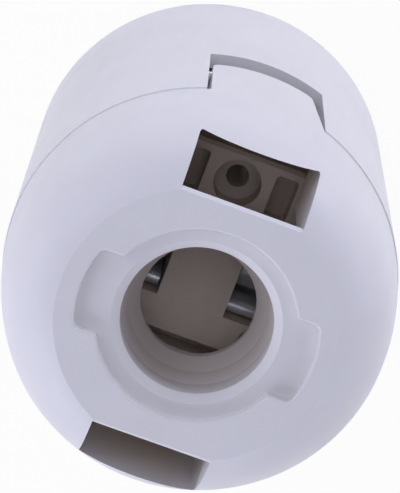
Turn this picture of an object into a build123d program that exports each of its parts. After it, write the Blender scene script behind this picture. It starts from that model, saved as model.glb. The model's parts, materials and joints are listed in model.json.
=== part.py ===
from build123d import *

import os
from math import asin, atan2, cos, degrees, hypot, radians, sin, tan

# Screw lamp holder, standing on its lamp mouth with the wiring cap up.
# Z is the lamp axis, the origin is the centre of the mouth rim, and Y runs through both windows.
# All sizes are in millimetres.

# Outer shell: a slightly tapered skirt with the lamp barrel inside it
shell_height = 45.0
lamp_bore_radius = 13.3
barrel_wall = 2.3
ring_gap = 3.95
skirt_wall = 1.6
skirt_flare = 0.45
mouth_round = 1.2
web_thickness = 2.2
lead_in_radius = 14.3
lead_in_depth = 4.0
lead_in_taper = 1.2
chamber_step = 0.3
chamber_margin = 0.15
cut_margin = 1.0

# Rim notches for the cap tabs, each with a small grip bump on one flank
notch_width = 13.2
notch_depth = 16.0
bump_drop = 6.9
bump_radius = 0.4

# Pillars that take the insert's screws
pillar_width = 5.0
pillar_height = 11.0
pilot_clearance = 0.03
pilot_depth = 9.0

# Cap: skirt, dome, flat face, central cup and two tool windows
cap_height = 15.5
seam_step = 0.15
shoulder_lean = 0.9
shoulder_drop = 6.4
shoulder_reach = 5.7
face_edge_slope = 18.0
face_thickness = 2.8
inner_bend_rise = 6.0
inner_bend_lean = 0.2
inner_slope_drop = 4.5
inner_slope_lean = 1.7
inner_face_lean = 4.7
spigot_wall = 1.1
spigot_depth = 3.0
spigot_clearance = 0.15

# Key recess in the cap face, and the stepped bore of the cup below it
recess_radius = 10.2
recess_depth = 1.25
wing_reach = 12.35
wing_width = 8.8
wing_round = 0.8
recess_edge_round = 0.25
step_radius = 8.7
step_depth = 0.75
cup_bore_radius = 7.82
cup_bore_depth = 2.7
cup_wall = 1.5
cup_taper_radius = 7.15
cup_taper_depth = 2.0
cup_cone_depth = 1.7
cup_hole_radius = 6.05
cup_floor = 0.9

# Tool windows
window_margin = 1.1
window_depth = 5.1
window_width = 12.8
window_round = 0.3
window_edge_bevel = 0.35
window_undercut = 20.0
guide_wall = 1.2
guide_lead = 1.7
guide_gap = 1.5

# Cap tabs
tab_length = 11.5
tab_flank_gap = 0.45
tab_root_gap = 0.08
tab_end_gap = 1.4
tab_round = 0.8

# Terminal block: spigot in the barrel, flange on its rim, and the plateau that carries the terminals
insert_clearance = 0.45
spigot_fit = 0.15
flange_thickness = 4.0
plateau_height = 3.5
plateau_sink = 0.5
boss_wall = 3.4
plateau_clearance = 0.4
block_spigot_depth = 3.0
plateau_round = 0.4
trough_start = 6.75
trough_width = 1.4
trough_depth = 3.0

# Fixing holes on the window line
fixing_lead = 1.9
counterbore_radius = 2.56
counterbore_depth = 3.0
fixing_hole_radius = 1.25
relief_inner_x = 3.7
relief_width = 2.5
relief_length = 4.9
relief_offset = 0.15
relief_depth = 3.0
relief_round = 0.5

# Terminal pockets, one on each side of the axis
pocket_inner = 3.75
pocket_width = 8.3
pocket_half_depth = 3.15
pocket_floor = 2.0

# Terminal bars
bar_thickness = 0.6
bar_face = -1.5
bar_side_clearance = 0.2
bar_top_drop = 2.0
bar_hook_reach = 0.85
bar_hook_drop = 1.2
bar_bend = 0.36
bar_foot = 6.4
bar_foot_round = 1.5
bar_slot_clearance = 0.15

# Push-in clamp springs
clamp_thickness = 0.3
clamp_gap = 0.4
clamp_eye_radius = 0.7
clamp_eye_y = 2.5
clamp_eye_drop = 1.9
clamp_eye_angle = 285.0
clamp_eye_clearance = 0.08
clamp_tip_y = -0.7
clamp_tip_drop = 6.0

# Contact plate below the block
plate_thickness = 2.0
plate_relief_depth = 1.0
plate_relief_reach = 4.6
plate_relief_width = 6.6
leg_slot_width = 1.6
leg_slot_clearance = 0.25

# Lamp contacts
contact_thickness = 0.4
contact_leg_clearance = 0.05
centre_leg_x = 7.2
centre_contact_width = 5.0
centre_contact_drop = 2.4
centre_tip_curl = 1.4
side_leg_x = 11.2
side_contact_width = 4.5
side_contact_bow = 13.7
side_contact_radius = 12.05
side_contact_drop = 5.4
side_contact_length = 7.7
side_slot_clearance = 0.45

# Rivets and screws
rivet_x = 8.0
rivet_y = -4.95
rivet_radius = 1.0
rivet_bore_radius = 0.55
rivet_head_radius = 1.7
rivet_head_height = 0.5
rivet_sink = 1.2
rivet_clearance = 0.05
screw_rim = 0.6
screw_angle = 35.0
screw_radius = 1.15
screw_hole_radius = 1.4
screw_length = 8.0
screw_head_radius = 2.0
screw_head_height = 1.4
screw_head_sink = 1.2
screw_head_clearance = 0.25
screw_slot_width = 0.6
screw_slot_depth = 0.6

# Stations and radii that follow from the sizes above
barrel_radius = lamp_bore_radius + barrel_wall
seam_inner_radius = barrel_radius + ring_gap
seam_radius = seam_inner_radius + skirt_wall
mouth_radius = seam_radius + skirt_flare
cap_top = shell_height + cap_height
cap_seam_radius = seam_radius - seam_step
shoulder_radius = cap_seam_radius - shoulder_lean
shoulder_height = cap_top - shoulder_drop
face_radius = shoulder_radius - shoulder_reach
window_inner = face_radius - window_margin
window_outer = window_inner + window_depth
guide_inner = window_inner - guide_lead
spigot_radius = seam_inner_radius - spigot_clearance
spigot_inner_radius = spigot_radius - spigot_wall
flange_radius = seam_inner_radius - insert_clearance
plateau_radius = spigot_inner_radius - plateau_clearance
block_top = shell_height - plateau_sink
flange_top = block_top - plateau_height
barrel_height = flange_top - flange_thickness
block_bottom = barrel_height - block_spigot_depth
chamber_radius = lamp_bore_radius + chamber_step
block_spigot_radius = chamber_radius - spigot_fit
plate_bottom = block_bottom - plate_thickness
slot_bottom = plate_bottom - side_contact_length - side_slot_clearance
chamber_floor = slot_bottom - chamber_margin
fixing_hole_y = window_inner - fixing_lead
plateau_half_depth = fixing_hole_y + boss_wall
pocket_outer = pocket_inner + pocket_width
pocket_bottom = block_bottom + pocket_floor
bar_width = pocket_width - 2 * bar_side_clearance
cup_step_z = cap_top - recess_depth - step_depth
cup_bore_z = cup_step_z - cup_bore_depth
cup_cone_z = cup_bore_z - cup_taper_depth
cup_hole_z = cup_cone_z - cup_cone_depth
cup_bottom = cup_hole_z - cup_floor
cup_radius = cup_bore_radius + cup_wall
face_underside = cap_top - face_thickness
screw_counterbore = screw_head_radius + screw_head_clearance
screw_place = flange_radius - screw_rim - screw_counterbore
screw_seat = flange_top - screw_head_sink


def skirt_radius(height):
    """Outer radius of the tapered skirt at a height above the mouth."""
    return mouth_radius + (seam_radius - mouth_radius) * height / shell_height


def outward(side):
    """Upright plane through the axis whose normal points out through one window."""
    return Plane(origin=(0, 0, 0), x_dir=(-side, 0, 0), z_dir=(0, side, 0))


def keep(piece, name):
    """Names a finished piece and writes its file."""
    piece.part.label = name
    export_step(piece.part, f"parts/{name}.step")


os.makedirs("parts", exist_ok=True)


# Outer shell
with BuildPart() as outer_shell:
    with BuildSketch(Plane.XZ):
        with BuildLine():
            Polyline(
                (mouth_radius, 0),
                (skirt_radius(shell_height), shell_height),
                (seam_inner_radius, shell_height),
                (skirt_radius(web_thickness) - skirt_wall, web_thickness),
                (barrel_radius, web_thickness),
                (barrel_radius, barrel_height),
                (chamber_radius, barrel_height),
                (chamber_radius, chamber_floor + chamber_step),
                (lamp_bore_radius, chamber_floor),
                (lamp_bore_radius, lead_in_depth + lead_in_taper),
                (lead_in_radius, lead_in_depth),
                (lead_in_radius, 0),
                close=True,
            )
        make_face()
    revolve(axis=Axis.Z)
    with Locations((0, 0, barrel_height - pillar_height / 2)):
        with PolarLocations(
            (barrel_radius + seam_inner_radius) / 2, 2, start_angle=screw_angle
        ):
            Box(
                seam_inner_radius - barrel_radius + skirt_wall,
                pillar_width,
                pillar_height,
            )
    with Locations((0, 0, barrel_height - pilot_depth / 2)):
        with PolarLocations(screw_place, 2, start_angle=screw_angle):
            Cylinder(screw_radius + pilot_clearance, pilot_depth, mode=Mode.SUBTRACT)
    for side in (1, -1):
        with BuildSketch(outward(side).offset(barrel_radius + insert_clearance)):
            with Locations((0, shell_height - notch_depth / 2)):
                Rectangle(notch_width, notch_depth)
            with Locations((notch_width / 2, shell_height - bump_drop)):
                Circle(bump_radius, mode=Mode.SUBTRACT)
        extrude(amount=mouth_radius, mode=Mode.SUBTRACT)
    with BuildSketch(Plane.XY.offset(barrel_height)):
        Rectangle(
            barrel_radius + cut_margin,
            side_contact_width + 2 * side_slot_clearance,
            align=(Align.MAX, Align.CENTER),
        )
    extrude(amount=slot_bottom - barrel_height, mode=Mode.SUBTRACT)
    mouth_edges = edges().filter_by(GeomType.CIRCLE).group_by(Axis.Z)[0]
    fillet(mouth_edges.sort_by(SortBy.RADIUS)[-1], mouth_round)
keep(outer_shell, "outer_shell")


# Cap: the hollow below its walls, less the guide walls beside each window
with BuildPart() as cap_hollow:
    with BuildSketch(Plane.XZ):
        with BuildLine():
            Polyline(
                (spigot_inner_radius - inner_face_lean, face_underside),
                (cup_radius, face_underside),
                (cup_radius, cup_bottom),
                (0, cup_bottom),
                (0, shell_height - spigot_depth),
                (spigot_inner_radius, shell_height - spigot_depth),
                (spigot_inner_radius - inner_bend_lean, shell_height + inner_bend_rise),
                (spigot_inner_radius - inner_slope_lean, cap_top - inner_slope_drop),
                close=True,
            )
        make_face()
    revolve(axis=Axis.Z)
    guide_bottom = block_top + guide_gap
    guide_height = cap_top - guide_bottom
    guide_depth = cap_seam_radius - guide_inner
    for side in (1, -1):
        with Locations((0, side * (guide_inner + guide_depth / 2), guide_bottom)):
            with GridLocations(window_width + guide_wall, 0, 2, 1):
                Box(
                    guide_wall,
                    guide_depth,
                    guide_height,
                    align=(Align.CENTER, Align.CENTER, Align.MIN),
                    mode=Mode.SUBTRACT,
                )

# Cap: one window's cutter, with a bevelled inner edge and its inner face leaning under the cap face
with BuildPart() as window_cutter:
    with BuildSketch(Plane.YZ):
        with BuildLine():
            lean = face_thickness * tan(radians(window_undercut))
            Polyline(
                (window_inner - window_edge_bevel, cap_top + cut_margin),
                (window_inner - window_edge_bevel, cap_top),
                (window_inner, cap_top - window_edge_bevel),
                (window_inner - lean, face_underside),
                (window_inner - lean, guide_bottom),
                (window_outer, guide_bottom),
                (window_outer, cap_top + cut_margin),
                close=True,
            )
        make_face()
    extrude(amount=window_width, both=True)
    with BuildSketch(Plane.XY.offset(guide_bottom)):
        with Locations((0, window_outer)):
            RectangleRounded(
                window_width,
                2 * (window_outer - window_inner) + 4 * window_round,
                window_round,
                align=(Align.CENTER, Align.MAX),
            )
    extrude(amount=guide_height + cut_margin, mode=Mode.INTERSECT)

# Cap: one tab, cut to its outline from a ring that carries on the cap's skirt
with BuildPart() as tab:
    tab_end = shell_height - tab_length
    with BuildSketch(Plane.XZ):
        with BuildLine():
            Polyline(
                (spigot_radius, tab_end),
                (skirt_radius(tab_end) - seam_step, tab_end),
                (cap_seam_radius, shell_height),
                (spigot_radius, shell_height),
                close=True,
            )
        make_face()
    revolve(axis=Axis.Z)
    with BuildSketch(outward(1)):
        with BuildLine():
            half = notch_width / 2
            Polyline(
                (half - tab_flank_gap, shell_height),
                (half - tab_flank_gap, tab_end),
                (-half + tab_end_gap, tab_end),
                (-half + tab_root_gap, shell_height),
                close=True,
            )
        make_face()
        fillet(vertices().group_by(Axis.Y)[0], tab_round)
    extrude(amount=mouth_radius, mode=Mode.INTERSECT)

with BuildPart() as cap:
    with BuildSketch(Plane.XZ):
        with BuildLine():
            face_edge = (face_radius, cap_top)
            shoulder = (shoulder_radius, shoulder_height)
            seam_edge = (cap_seam_radius, shell_height)
            edge_slope = radians(face_edge_slope)
            dome = TangentArc(face_edge, shoulder, tangent=(cos(edge_slope), -sin(edge_slope)))
            TangentArc(shoulder, seam_edge, tangent=dome % 1)
            Polyline(
                seam_edge,
                (spigot_radius, shell_height),
                (spigot_radius, shell_height - spigot_depth),
                (0, shell_height - spigot_depth),
                (0, cap_top),
                face_edge,
            )
        make_face()
    revolve(axis=Axis.Z)
    add(cap_hollow.part, mode=Mode.SUBTRACT)
    with BuildSketch(Plane.XZ):
        with BuildLine():
            Polyline(
                (0, cap_top - recess_depth),
                (step_radius, cap_top - recess_depth),
                (cup_bore_radius, cup_step_z),
                (cup_bore_radius, cup_bore_z),
                (cup_taper_radius, cup_cone_z),
                (cup_hole_radius, cup_hole_z),
                (cup_hole_radius, cup_bottom),
                (0, cup_bottom),
                close=True,
            )
        make_face()
    revolve(axis=Axis.Z, mode=Mode.SUBTRACT)
    with BuildSketch(Plane.XY.offset(cap_top)):
        Circle(wing_reach)
        Rectangle(2 * wing_reach, wing_width, mode=Mode.INTERSECT)
        fillet(vertices(), wing_round)
        Circle(recess_radius)
    extrude(amount=-recess_depth, mode=Mode.SUBTRACT)
    recess_face = faces().filter_by(Axis.Z).group_by(Axis.Z)[-1].sort_by(SortBy.AREA)[-1]
    fillet(recess_face.inner_wires()[0].edges(), recess_edge_round)
    add(window_cutter.part, mode=Mode.SUBTRACT)
    add(window_cutter.part, rotation=(0, 0, 180), mode=Mode.SUBTRACT)
    add(tab.part)
    add(tab.part, rotation=(0, 0, 180))
keep(cap, "cap")


# Terminal block
with BuildPart() as terminal_block:
    with BuildSketch(Plane.XY.offset(block_bottom)):
        Circle(block_spigot_radius)
    extrude(amount=block_spigot_depth)
    with BuildSketch(Plane.XY.offset(barrel_height)):
        Circle(flange_radius)
    extrude(amount=flange_thickness)
    with BuildSketch(Plane.XY.offset(flange_top)):
        Circle(plateau_radius)
        Rectangle(2 * plateau_radius, 2 * plateau_half_depth, mode=Mode.INTERSECT)
    extrude(amount=block_top - flange_top)
    chamfer(faces().sort_by(Axis.Z)[-1].edges(), plateau_round)
    # Troughs between the terminals and the two fixing bosses
    with BuildSketch(Plane.XY.offset(block_top)):
        with GridLocations(0, 2 * trough_start + trough_width, 1, 2):
            Rectangle(2 * plateau_radius, trough_width)
    extrude(amount=-trough_depth, mode=Mode.SUBTRACT)
    # Fixing holes, and the reliefs beside them
    with Locations((0, 0, block_top)):
        with GridLocations(0, 2 * fixing_hole_y, 1, 2):
            CounterBoreHole(
                fixing_hole_radius,
                counterbore_radius,
                counterbore_depth,
                block_top - block_bottom,
            )
    with BuildSketch(Plane.XY.offset(block_top)):
        with GridLocations(
            2 * relief_inner_x + relief_width, 2 * (fixing_hole_y - relief_offset), 2, 2
        ):
            RectangleRounded(relief_width, relief_length, relief_round)
    extrude(amount=-relief_depth, mode=Mode.SUBTRACT)
    # Terminal pockets, the seats of the spring eyes, and the slots for the bars
    pocket_middle = pocket_inner + pocket_width / 2
    with BuildSketch(Plane.XY.offset(block_top)):
        with GridLocations(2 * pocket_middle, 0, 2, 1):
            Rectangle(pocket_width, 2 * pocket_half_depth)
    extrude(amount=pocket_bottom - block_top, mode=Mode.SUBTRACT)
    eye_z = block_top - clamp_eye_drop
    eye_outer_radius = clamp_eye_radius + clamp_thickness / 2
    for start in (pocket_inner, -pocket_outer):
        with BuildSketch(Plane.YZ.offset(start)):
            with Locations((clamp_eye_y, eye_z)):
                Circle(eye_outer_radius + clamp_eye_clearance)
        extrude(amount=pocket_width, mode=Mode.SUBTRACT)
    bar_middle_y = bar_face - bar_thickness / 2
    with BuildSketch(Plane.XY.offset(block_bottom)):
        with Locations((0, bar_middle_y)):
            with GridLocations(2 * pocket_middle, 0, 2, 1):
                Rectangle(
                    bar_width + 2 * bar_slot_clearance,
                    bar_thickness + 2 * bar_slot_clearance,
                )
    extrude(amount=pocket_floor, mode=Mode.SUBTRACT)
    with BuildSketch(Plane.XY.offset(block_bottom)):
        foot_start = bar_face + bar_slot_clearance
        foot_end = -bar_foot - bar_slot_clearance
        with Locations((0, (foot_start + foot_end) / 2)):
            with GridLocations(2 * pocket_middle, 0, 2, 1):
                Rectangle(bar_width + 2 * bar_slot_clearance, foot_start - foot_end)
        fillet(vertices().group_by(Axis.Y)[0], bar_foot_round)
    extrude(amount=bar_thickness, mode=Mode.SUBTRACT)
    # Rivet holes and screw holes
    with Locations((0, rivet_y, block_top)):
        with GridLocations(2 * rivet_x, 0, 2, 1):
            CounterBoreHole(
                rivet_radius + rivet_clearance,
                rivet_head_radius + 4 * rivet_clearance,
                rivet_sink,
                block_top - block_bottom,
            )
    with Locations((0, 0, block_top)):
        with PolarLocations(screw_place, 2, start_angle=screw_angle):
            CounterBoreHole(
                screw_hole_radius,
                screw_counterbore,
                block_top - screw_seat,
                block_top - block_bottom,
            )
keep(terminal_block, "terminal_block")


# Contact plate under the block, with slots for the contact legs and rivet holes
with BuildPart() as contact_plate:
    with BuildSketch(Plane.XY.offset(plate_bottom)):
        Circle(block_spigot_radius)
        with Locations((centre_leg_x, 0)):
            Rectangle(
                leg_slot_width,
                centre_contact_width + 2 * leg_slot_clearance,
                mode=Mode.SUBTRACT,
            )
        with Locations((-side_leg_x, 0)):
            Rectangle(
                leg_slot_width,
                side_contact_width + 2 * leg_slot_clearance,
                mode=Mode.SUBTRACT,
            )
        with GridLocations(0, 2 * fixing_hole_y, 1, 2):
            Circle(fixing_hole_radius, mode=Mode.SUBTRACT)
        with Locations((0, rivet_y)):
            with GridLocations(2 * rivet_x, 0, 2, 1):
                Circle(rivet_radius + rivet_clearance, mode=Mode.SUBTRACT)
    extrude(amount=plate_thickness)
    with BuildSketch(Plane.XY.offset(plate_bottom)):
        Rectangle(2 * plate_relief_reach, plate_relief_width)
    extrude(amount=plate_relief_depth, mode=Mode.SUBTRACT)
keep(contact_plate, "contact_plate")


def terminal_bar(side):
    """Bent bar of one pole: hooked top, upright face for the wires, and a foot under the block."""
    start = pocket_inner + bar_side_clearance if side > 0 else -pocket_outer + bar_side_clearance
    top = block_top - bar_top_drop
    foot_z = block_bottom + bar_thickness / 2
    hook_y = bar_middle_y - bar_hook_reach
    with BuildPart() as bar:
        with BuildSketch(Plane.YZ.offset(start)):
            with BuildLine():
                FilletPolyline(
                    (hook_y, top - bar_hook_drop),
                    (hook_y, top),
                    (bar_middle_y, top),
                    (bar_middle_y, foot_z),
                    (-bar_foot, foot_z),
                    radius=bar_bend,
                )
            trace(line_width=bar_thickness)
        extrude(amount=bar_width)
        foot_end_face = bar.faces().sort_by(Axis.Y)[0]
        fillet(foot_end_face.edges().filter_by(Axis.Z), bar_foot_round)
        with Locations((side * rivet_x, rivet_y, foot_z)):
            Cylinder(rivet_radius + rivet_clearance, 4 * bar_thickness, mode=Mode.SUBTRACT)
    return bar


def clamp_spring(start):
    """Push-in clamp: a rolled eye and a leaf that leans towards the bar's face."""
    eye = (clamp_eye_y, eye_z)
    tip = (clamp_tip_y, block_top - clamp_tip_drop)
    reach = hypot(eye[0] - tip[0], eye[1] - tip[1])
    lean = degrees(atan2(eye[1] - tip[1], eye[0] - tip[0]) + asin(clamp_eye_radius / reach))
    contact_angle = lean + 90
    touch = (
        eye[0] + clamp_eye_radius * cos(radians(contact_angle)),
        eye[1] + clamp_eye_radius * sin(radians(contact_angle)),
    )
    with BuildPart() as spring:
        with BuildSketch(Plane.YZ.offset(start)):
            with BuildLine():
                Line(tip, touch)
                CenterArc(eye, clamp_eye_radius, contact_angle, -clamp_eye_angle)
            trace(line_width=clamp_thickness)
        extrude(amount=clamp_width)
    return spring


clamp_width = (bar_width - clamp_gap) / 2
for side, pole in ((1, "line"), (-1, "neutral")):
    keep(terminal_bar(side), f"{pole}_terminal_bar")
    near = pocket_inner + bar_side_clearance
    far = near + clamp_width + clamp_gap
    starts = (near, far) if side > 0 else (-near - clamp_width, -far - clamp_width)
    for place, start in zip(("inner", "outer"), starts):
        keep(clamp_spring(start), f"{pole}_clamp_{place}")


# Centre contact: a leg up through the plate and a tongue that bows down to the lamp
with BuildPart() as centre_contact:
    tip_z = plate_bottom - centre_contact_drop
    with BuildSketch(Plane.XZ):
        with BuildLine():
            FilletPolyline(
                (centre_leg_x, block_bottom - contact_leg_clearance),
                (centre_leg_x, plate_bottom - contact_thickness),
                (contact_thickness, tip_z),
                (-3 * contact_thickness, tip_z),
                (-8 * contact_thickness, tip_z + centre_tip_curl),
                radius=(1.5 * contact_thickness, 3 * contact_thickness, 3 * contact_thickness),
            )
        trace(line_width=contact_thickness)
    extrude(amount=centre_contact_width / 2, both=True)
keep(centre_contact, "centre_contact")


# Side contact: a leg up through the plate and a bowed tongue in the barrel's slot
with BuildPart() as side_contact:
    with BuildSketch(Plane.XZ):
        with BuildLine():
            FilletPolyline(
                (-side_leg_x, block_bottom - contact_leg_clearance),
                (-side_leg_x, plate_bottom - contact_thickness),
                (-side_contact_bow, plate_bottom - 3 * contact_thickness),
                (-side_contact_radius, plate_bottom - side_contact_drop),
                (-side_contact_bow + contact_thickness, plate_bottom - side_contact_length),
                radius=(contact_thickness, 2 * contact_thickness, 3 * contact_thickness),
            )
        trace(line_width=contact_thickness)
    extrude(amount=side_contact_width / 2, both=True)
keep(side_contact, "side_contact")


# Tubular rivets that clamp block, bars and plate together
for side, pole in ((1, "line"), (-1, "neutral")):
    with BuildPart() as rivet:
        rivet_top = block_top - rivet_sink
        with BuildSketch(Plane.XZ):
            with BuildLine():
                Polyline(
                    (rivet_bore_radius, plate_bottom - rivet_head_height),
                    (rivet_head_radius, plate_bottom - rivet_head_height / 2),
                    (rivet_head_radius, plate_bottom),
                    (rivet_radius, plate_bottom),
                    (rivet_radius, rivet_top),
                    (rivet_head_radius, rivet_top),
                    (rivet_head_radius, rivet_top + rivet_head_height / 2),
                    (rivet_bore_radius, rivet_top + rivet_head_height),
                    close=True,
                )
            make_face()
        revolve(axis=Axis.Z)
    rivet.part = rivet.part.moved(Location((side * rivet_x, rivet_y, 0)))
    keep(rivet, f"{pole}_rivet")


# Screws that hold the block down on the shell's pillars
for turn, place in ((0, "front"), (180, "back")):
    with BuildPart() as screw:
        with BuildSketch(Plane.XZ):
            with BuildLine():
                head_top = screw_seat + screw_head_height
                dome_start = (screw_head_radius, screw_seat + screw_head_height / 2)
                dome_end = (screw_head_radius / 2, head_top)
                Polyline(
                    dome_end,
                    (0, head_top),
                    (0, screw_seat - screw_length),
                    (screw_radius, screw_seat - screw_length + screw_radius),
                    (screw_radius, screw_seat),
                    (screw_head_radius, screw_seat),
                    dome_start,
                )
                RadiusArc(dome_start, dome_end, -screw_head_radius)
            make_face()
        revolve(axis=Axis.Z)
        with Locations((0, 0, head_top - screw_slot_depth / 2)):
            Box(2 * screw_head_radius, screw_slot_width, screw_slot_depth, mode=Mode.SUBTRACT)
    angle = radians(screw_angle + turn)
    screw.part = screw.part.moved(Location((screw_place * cos(angle), screw_place * sin(angle), 0)))
    keep(screw, f"block_screw_{place}")
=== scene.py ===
"""Looks of the screw lamp holder: camera, light, floor, lamp thread and finishes."""

import json
import math

import bpy
from mathutils import Matrix, Vector


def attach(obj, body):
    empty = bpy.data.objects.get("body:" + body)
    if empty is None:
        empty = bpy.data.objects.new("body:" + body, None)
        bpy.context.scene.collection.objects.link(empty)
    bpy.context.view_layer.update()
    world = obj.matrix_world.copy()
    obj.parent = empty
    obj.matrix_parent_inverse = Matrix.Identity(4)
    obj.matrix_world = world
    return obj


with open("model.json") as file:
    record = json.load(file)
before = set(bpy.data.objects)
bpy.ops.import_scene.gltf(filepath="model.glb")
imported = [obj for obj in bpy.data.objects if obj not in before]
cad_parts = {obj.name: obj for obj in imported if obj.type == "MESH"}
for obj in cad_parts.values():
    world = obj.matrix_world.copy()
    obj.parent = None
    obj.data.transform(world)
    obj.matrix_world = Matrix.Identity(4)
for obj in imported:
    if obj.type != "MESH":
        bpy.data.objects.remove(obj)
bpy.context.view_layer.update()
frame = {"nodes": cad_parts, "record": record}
MM = 0.001


# Camera, in the frame of the part
CAMERA_PLACE = (-0.0208, 0.0714, 0.2789)
CAMERA_RIGHT = (0.9376, 0.3470, -0.0225)
CAMERA_UP = (-0.3385, 0.8958, -0.2879)
CAMERA_BACK = (-0.0798, 0.2776, 0.9574)
CAMERA_LENS = 167.95
CAMERA_SENSOR = 36
CAMERA_NEAR = 0.01
CAMERA_FAR = 20

camera_data = bpy.data.cameras.new("camera")
camera_data.lens = CAMERA_LENS
camera_data.sensor_width = CAMERA_SENSOR
camera_data.sensor_fit = "AUTO"
camera_data.clip_start = CAMERA_NEAR
camera_data.clip_end = CAMERA_FAR
camera = bpy.data.objects.new("camera", camera_data)
bpy.context.scene.collection.objects.link(camera)
camera.matrix_world = Matrix.LocRotScale(
    Vector(CAMERA_PLACE),
    Matrix((CAMERA_RIGHT, CAMERA_UP, CAMERA_BACK)).transposed().to_quaternion(),
    None,
)
bpy.context.scene.camera = camera


# Node trees
class Wire:
    """An output socket that takes part in arithmetic."""

    def __init__(self, tree, socket):
        self.tree = tree
        self.socket = socket

    def maths(self, operation, *others):
        values = dict(enumerate((self, *others)))
        return self.tree.node("ShaderNodeMath", {"operation": operation}, values)

    def __add__(self, other):
        return self.maths("ADD", other)

    __radd__ = __add__

    def __mul__(self, other):
        return self.maths("MULTIPLY", other)

    __rmul__ = __mul__

    def __sub__(self, other):
        return self.maths("SUBTRACT", other)

    def __rsub__(self, other):
        return self * -1 + other

    def between(self, low, high):
        """0 below low and 1 above high, smooth in between."""
        return self.tree.node(
            "ShaderNodeMapRange",
            {"interpolation_type": "SMOOTHSTEP"},
            {"Value": self, "From Min": low, "From Max": high, "To Min": 0.0, "To Max": 1.0},
        )


class Tree:
    """A node tree whose nodes all come from one method."""

    def __init__(self, tree):
        self.tree = tree

    def node(self, kind, settings=None, values=None, output=0):
        node = self.tree.nodes.new(kind)
        for name, value in (settings or {}).items():
            setattr(node, name, value)
        for name, value in (values or {}).items():
            if isinstance(value, Wire):
                self.tree.links.new(value.socket, node.inputs[name])
            else:
                node.inputs[name].default_value = value
        return Wire(self, node.outputs[output])


class Finish(Tree):
    """A material, its node tree and the object's own coordinates."""

    def __init__(self, name):
        self.material = bpy.data.materials.new(name)
        self.material.use_nodes = True
        super().__init__(self.material.node_tree)
        self.shader = self.tree.nodes["Principled BSDF"]
        self.place = self.node("ShaderNodeTexCoord", output="Object")

    def noise(self, scale, detail, roughness, place=None):
        values = {"Scale": scale, "Detail": detail, "Roughness": roughness}
        values["Vector"] = place or self.place
        return self.node("ShaderNodeTexNoise", values=values)

    def stretched(self, scale):
        return self.node("ShaderNodeMapping", values={"Vector": self.place, "Scale": scale})

    def axes(self):
        """X, Y and Z of the object's own coordinates."""
        values = {"Vector": self.place}
        return [self.node("ShaderNodeSeparateXYZ", values=values, output=k) for k in range(3)]

    def mix(self, factor, low, high):
        values = {0: factor, 6: low, 7: high}
        return self.node("ShaderNodeMix", {"data_type": "RGBA"}, values, output=2)

    def bump(self, height, distance, strength, under=None):
        values = {"Height": height, "Distance": distance, "Strength": strength}
        if under:
            values["Normal"] = under
        return self.node("ShaderNodeBump", values=values)

    def feed(self, **sockets):
        for name, value in sockets.items():
            socket = self.shader.inputs[name.replace("_", " ")]
            if isinstance(value, Wire):
                self.tree.links.new(value.socket, socket)
            else:
                socket.default_value = value
        return self.material


def colour(red, green, blue):
    return (red, green, blue, 1.0)


# Where light is painted on the white plastic: painted warm bounce light inside the cap, and
# painted shade deeper in the cap's cup
CAP_INSIDE = 19.6 * MM
CAP_INSIDE_BLEND = 1.2 * MM
CAP_LOW = 44.0 * MM
CAP_LOW_BLEND = 4.0 * MM
CAP_FADE_START = 49.0 * MM
CAP_HIGH = 59.4 * MM
CUP_OUTSIDE = 9.3 * MM
CUP_OUTSIDE_BLEND = 0.6 * MM
CUP_LOW = 51.2 * MM
CUP_LOW_BLEND = 2.0 * MM
CUP_FADE_START = 52.7 * MM


def white_plastic():
    """Satin moulded plastic: fine orange peel, faint flow shades, soft scuffs; warmer and lighter
    inside the cap as painted bounce light, darker deep in the cup as painted shade.
    """
    finish = Finish("white plastic")
    cloud = finish.noise(scale=55, detail=4, roughness=0.55)
    shade = finish.mix(
        cloud.between(0.3, 0.7), low=colour(0.765, 0.742, 0.725), high=colour(0.805, 0.782, 0.765)
    )

    x, y, z = finish.axes()
    radius = (x * x + y * y).maths("SQRT")
    # Painted warm bounce light: the walls inside the cap, below its face, are coloured warmer and
    # lighter in place of light bounced between the plastics
    inside = 1 - radius.between(CAP_INSIDE - CAP_INSIDE_BLEND, CAP_INSIDE)
    above = z.between(CAP_LOW - CAP_LOW_BLEND, CAP_LOW)
    depth = above * (1 - z.between(CAP_FADE_START, CAP_HIGH))
    shade = finish.mix(inside * depth, shade, colour(0.82, 0.715, 0.61))

    # Painted shade: the cup's wall is coloured darker towards its lower part, in place of the
    # shade deep in the bore
    cup = 1 - radius.between(CUP_OUTSIDE - CUP_OUTSIDE_BLEND, CUP_OUTSIDE)
    cup_above = z.between(CUP_LOW - CUP_LOW_BLEND, CUP_LOW)
    cup_depth = cup_above * (1 - z.between(CUP_FADE_START, CAP_HIGH))
    shade = finish.mix(cup * cup_depth, shade, colour(0.5, 0.44, 0.39))

    scuff = finish.noise(
        scale=900, detail=2, roughness=0.6, place=finish.stretched((1.0, 0.35, 0.2))
    )
    rough = scuff.between(0.35, 0.75) * 0.12 + 0.4
    flow = finish.noise(scale=160, detail=2, roughness=0.5)
    peel = finish.noise(scale=2600, detail=2, roughness=0.5)
    wave = finish.bump(flow, distance=0.18 * MM, strength=0.25)
    normal = finish.bump(peel, distance=0.015 * MM, strength=0.35, under=wave)
    return finish.feed(Base_Color=shade, Roughness=rough, Normal=normal, IOR=1.5)


def beige_plastic():
    """Matt thermoset: warm grey beige with fine darker specks."""
    finish = Finish("beige plastic")
    cloud = finish.noise(scale=140, detail=5, roughness=0.6)
    shade = finish.mix(
        cloud.between(0.25, 0.75), low=colour(0.52, 0.435, 0.345), high=colour(0.59, 0.50, 0.405)
    )
    speck = finish.noise(scale=2200, detail=2, roughness=0.7).between(0.62, 0.72)
    shade = finish.mix(speck * 0.35, shade, colour(0.36, 0.29, 0.22))
    rough = cloud.between(0.3, 0.7) * 0.14 + 0.46
    grain = finish.noise(scale=1500, detail=3, roughness=0.6)
    normal = finish.bump(grain, distance=0.03 * MM, strength=0.4)
    return finish.feed(Base_Color=shade, Roughness=rough, Normal=normal)


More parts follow.
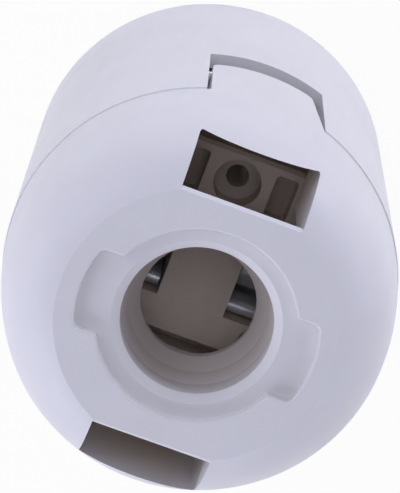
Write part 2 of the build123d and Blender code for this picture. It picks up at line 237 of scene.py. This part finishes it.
def strip_metal(name, dull, bright, rough_low, rough_high, grain, metal=1.0):
    """Rolled strip: a brushed grain with dull and bright patches."""
    finish = Finish(name)
    brushed = finish.noise(scale=1400, detail=3, roughness=0.6, place=finish.stretched(grain))
    patch = finish.noise(scale=420, detail=3, roughness=0.55)
    shade = finish.mix(patch.between(0.3, 0.75), dull, bright)
    rough = brushed.between(0.25, 0.75) * (rough_high - rough_low) + rough_low
    normal = finish.bump(brushed, distance=0.01 * MM, strength=0.5)
    return finish.feed(Base_Color=shade, Roughness=rough, Normal=normal, Metallic=metal)


# How far the grain of a metal is drawn out along each axis
ALONG_X = (0.15, 1.0, 1.0)
ALONG_Y = (1.0, 0.15, 1.0)
ALONG_Z = (1.0, 1.0, 0.2)
EVEN = (1.0, 1.0, 1.0)

FINISHES = {
    "white_plastic": white_plastic(),
    "beige_plastic": beige_plastic(),
    "tinned_metal": strip_metal(
        "tinned bar",
        dull=colour(0.66, 0.65, 0.63),
        bright=colour(0.88, 0.88, 0.87),
        rough_low=0.3,
        rough_high=0.48,
        grain=ALONG_Y,
        metal=0.7,
    ),
    "spring_steel": strip_metal(
        "spring steel",
        dull=colour(0.8, 0.8, 0.79),
        bright=colour(0.95, 0.95, 0.95),
        rough_low=0.38,
        rough_high=0.54,
        grain=ALONG_X,
        metal=0.3,
    ),
    "contact_bronze": strip_metal(
        "contact bronze",
        dull=colour(0.52, 0.32, 0.15),
        bright=colour(0.78, 0.55, 0.3),
        rough_low=0.22,
        rough_high=0.4,
        grain=ALONG_X,
    ),
    "rivet_brass": strip_metal(
        "rivet brass",
        dull=colour(0.55, 0.4, 0.16),
        bright=colour(0.82, 0.64, 0.32),
        rough_low=0.22,
        rough_high=0.4,
        grain=EVEN,
    ),
    "screw_steel": strip_metal(
        "screw steel",
        dull=colour(0.5, 0.5, 0.5),
        bright=colour(0.74, 0.74, 0.76),
        rough_low=0.22,
        rough_high=0.42,
        grain=ALONG_Z,
    ),
}

for row in frame["record"]["subparts"]:
    node = frame["nodes"][row["node"]]
    for place in node.material_slots:
        place.material = FINISHES[row["material_slot"]]


# Lamp thread: one rounded helical ridge on the barrel's wall
THREAD_RADIUS = 13.3 * MM
THREAD_PITCH = 3.629 * MM
THREAD_START = 6.9 * MM
THREAD_END = 22.2 * MM
RIDGE_HEIGHT = 1.05 * MM
RIDGE_HALF_WIDTH = 1.25 * MM
RIDGE_FADE = 0.06
RIDGE_SMALLEST = 0.02
STEPS_PER_TURN = 72
RIDGE_SIDES = 14


class Recipe(Tree):
    """A geometry node group with named inputs."""

    def __init__(self, name, inputs):
        super().__init__(bpy.data.node_groups.new(name, "GeometryNodeTree"))
        sides = self.tree.interface
        sides.new_socket("Geometry", in_out="OUTPUT", socket_type="NodeSocketGeometry")
        self.keys = {}
        self.values = {}
        for label, (kind, value) in inputs.items():
            socket = sides.new_socket(label, in_out="INPUT", socket_type=kind)
            self.keys[label] = socket.identifier
            self.values[label] = value
        self.entry = self.tree.nodes.new("NodeGroupInput")
        self.exit = self.tree.nodes.new("NodeGroupOutput")

    def given(self, label):
        """The group input of that name."""
        names = [socket.name for socket in self.entry.outputs]
        return Wire(self, self.entry.outputs[names.index(label)])

    def piece(self, name, body, slot):
        """Add the mesh that the group makes, as a piece of the scene that rides on a body."""
        carrier = bpy.data.objects.new(name + " carrier", bpy.data.meshes.new(name + " carrier"))
        bpy.context.scene.collection.objects.link(carrier)
        modifier = carrier.modifiers.new(name, "NODES")
        modifier.node_group = self.tree
        for label, key in self.keys.items():
            modifier[key] = self.values[label]
        sheet = bpy.context.evaluated_depsgraph_get()
        mesh = bpy.data.meshes.new_from_object(carrier.evaluated_get(sheet), depsgraph=sheet)
        mesh.name = name
        carrier.modifiers.remove(modifier)
        bpy.data.objects.remove(carrier)
        made = bpy.data.objects.new(name, mesh)
        bpy.context.scene.collection.objects.link(made)
        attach(made, body)


def lamp_thread():
    """Ridge with an elliptical section, swept up the right-handed helix, fading at both ends."""
    number = "NodeSocketFloat"
    recipe = Recipe(
        "lamp thread",
        {
            "Radius": (number, THREAD_RADIUS),
            "Turns": (number, (THREAD_END - THREAD_START) / THREAD_PITCH),
            "Rise": (number, THREAD_END - THREAD_START),
            "Start": (number, THREAD_START),
            "Ridge height": (number, RIDGE_HEIGHT),
            "Ridge half width": (number, RIDGE_HALF_WIDTH),
            "Fade": (number, RIDGE_FADE),
        },
    )
    radius = recipe.given("Radius")
    helix = recipe.node(
        "GeometryNodeCurveSpiral",
        values={
            "Resolution": STEPS_PER_TURN,
            "Rotations": recipe.given("Turns"),
            "Start Radius": radius,
            "End Radius": radius,
            "Height": recipe.given("Rise"),
            "Reverse": True,
        },
    )
    upright = recipe.node("GeometryNodeSetCurveNormal", {"mode": "Z_UP"}, {"Curve": helix})
    share = recipe.node("GeometryNodeSplineParameter")
    fade = recipe.given("Fade")
    rising = share.maths("DIVIDE", fade)
    falling = (1 - share).maths("DIVIDE", fade)
    size = rising.maths("MINIMUM", falling).maths("MINIMUM", 1.0).maths("MAXIMUM", RIDGE_SMALLEST)
    ring = recipe.node(
        "GeometryNodeCurvePrimitiveCircle", values={"Resolution": RIDGE_SIDES, "Radius": 1.0}
    )
    height, half_width = recipe.given("Ridge height"), recipe.given("Ridge half width")
    spread = recipe.node("ShaderNodeCombineXYZ", values={0: height, 1: half_width, 2: 1.0})
    profile = recipe.node("GeometryNodeTransform", values={"Geometry": ring, "Scale": spread})
    ridge = recipe.node(
        "GeometryNodeCurveToMesh",
        values={"Curve": upright, "Profile Curve": profile, "Scale": size, "Fill Caps": True},
    )
    lift = recipe.node("ShaderNodeCombineXYZ", values={2: recipe.given("Start")})
    placed = recipe.node("GeometryNodeTransform", values={"Geometry": ridge, "Translation": lift})
    smooth = recipe.node(
        "GeometryNodeSetShadeSmooth", values={"Geometry": placed, "Shade Smooth": True}
    )
    real = recipe.node("GeometryNodeRealizeInstances", values={"Geometry": smooth})
    painted = recipe.node(
        "GeometryNodeSetMaterial",
        values={"Geometry": real, "Material": FINISHES["white_plastic"]},
    )
    recipe.tree.links.new(painted.socket, recipe.exit.inputs["Geometry"])
    recipe.piece("lamp_thread", "holder", "white_plastic")


lamp_thread()


# Floor
FLOOR_REACH = 6.0
FLOOR_GLOW = 0.94


def floor():
    """White floor that reads as white paper and still takes the shadow."""
    mesh = bpy.data.meshes.new("floor")
    corners = [(-1, -1, 0), (1, -1, 0), (1, 1, 0), (-1, 1, 0)]
    places = [[share * FLOOR_REACH for share in corner] for corner in corners]
    mesh.from_pydata(places, [], [(0, 1, 2, 3)])
    piece = bpy.data.objects.new("floor", mesh)
    bpy.context.scene.collection.objects.link(piece)
    finish = Finish("floor paper")
    finish.feed(Base_Color=colour(0.86, 0.86, 0.86), Roughness=0.9)
    seen = finish.node("ShaderNodeLightPath", output="Is Camera Ray")
    for ray in ("Is Glossy Ray", "Is Transmission Ray"):
        seen = seen.maths("MAXIMUM", finish.node("ShaderNodeLightPath", output=ray))
    glow = finish.node("ShaderNodeEmission", values={"Color": colour(1, 1, 1), "Strength": 1.0})
    paper = Wire(finish, finish.shader.outputs[0])
    blend = finish.node("ShaderNodeMixShader", values={0: seen * FLOOR_GLOW, 1: paper, 2: glow})
    finish.tree.links.new(blend.socket, finish.tree.nodes["Material Output"].inputs[0])
    mesh.materials.append(finish.material)


floor()


# Light
LIGHT_TINT = (0.783, 0.809, 1.0)
WORLD_STRENGTH = 0.24
LAMP_REACH = 0.6
LAMP_SIZE = 0.35
LOOK_AT = Vector((0, 0, 0.045))
RIGHT, UP, BACK = Vector(CAMERA_RIGHT), Vector(CAMERA_UP), Vector(CAMERA_BACK)

# How far a lamp is risen towards the camera, as a share of its distance to the side
LOW, HIGH, OVERHEAD = 0.2, 1.0, 50.0

# Name, degrees anticlockwise from the camera's right, rise and power in watts
LAMPS = (
    ("lamp_right", 0, LOW, 0.5),
    ("lamp_top_right", 45, LOW, 2.3),
    ("lamp_top", 90, LOW, 0.95),
    ("lamp_left", 180, LOW, 0.7),
    ("lamp_bottom_left", 225, LOW, 1.3),
    ("lamp_bottom", 270, LOW, 0.6),
    ("lamp_bottom_right", 315, LOW, 0.5),
    ("lamp_high_top_left", 150, HIGH, 0.75),
    ("lamp_front", 0, OVERHEAD, 0.5),
)


def soft_lamp(name, turn, rise, power):
    """Square soft lamp that faces the holder."""
    data = bpy.data.lights.new(name, "AREA")
    data.shape = "SQUARE"
    data.size = LAMP_SIZE
    data.energy = power
    data.color = LIGHT_TINT
    lamp = bpy.data.objects.new(name, data)
    bpy.context.scene.collection.objects.link(lamp)
    around = RIGHT * math.cos(math.radians(turn)) + UP * math.sin(math.radians(turn))
    direction = (around + BACK * rise).normalized()
    lamp.location = LOOK_AT + direction * LAMP_REACH
    lamp.rotation_euler = direction.to_track_quat("Z", "Y").to_euler()


for lamp_row in LAMPS:
    soft_lamp(*lamp_row)

world = bpy.data.worlds.new("world")
bpy.context.scene.world = world
world.use_nodes = True
background = world.node_tree.nodes["Background"]
background.inputs["Color"].default_value = colour(*LIGHT_TINT)
background.inputs["Strength"].default_value = WORLD_STRENGTH

bpy.context.scene.view_settings.view_transform = "Standard"
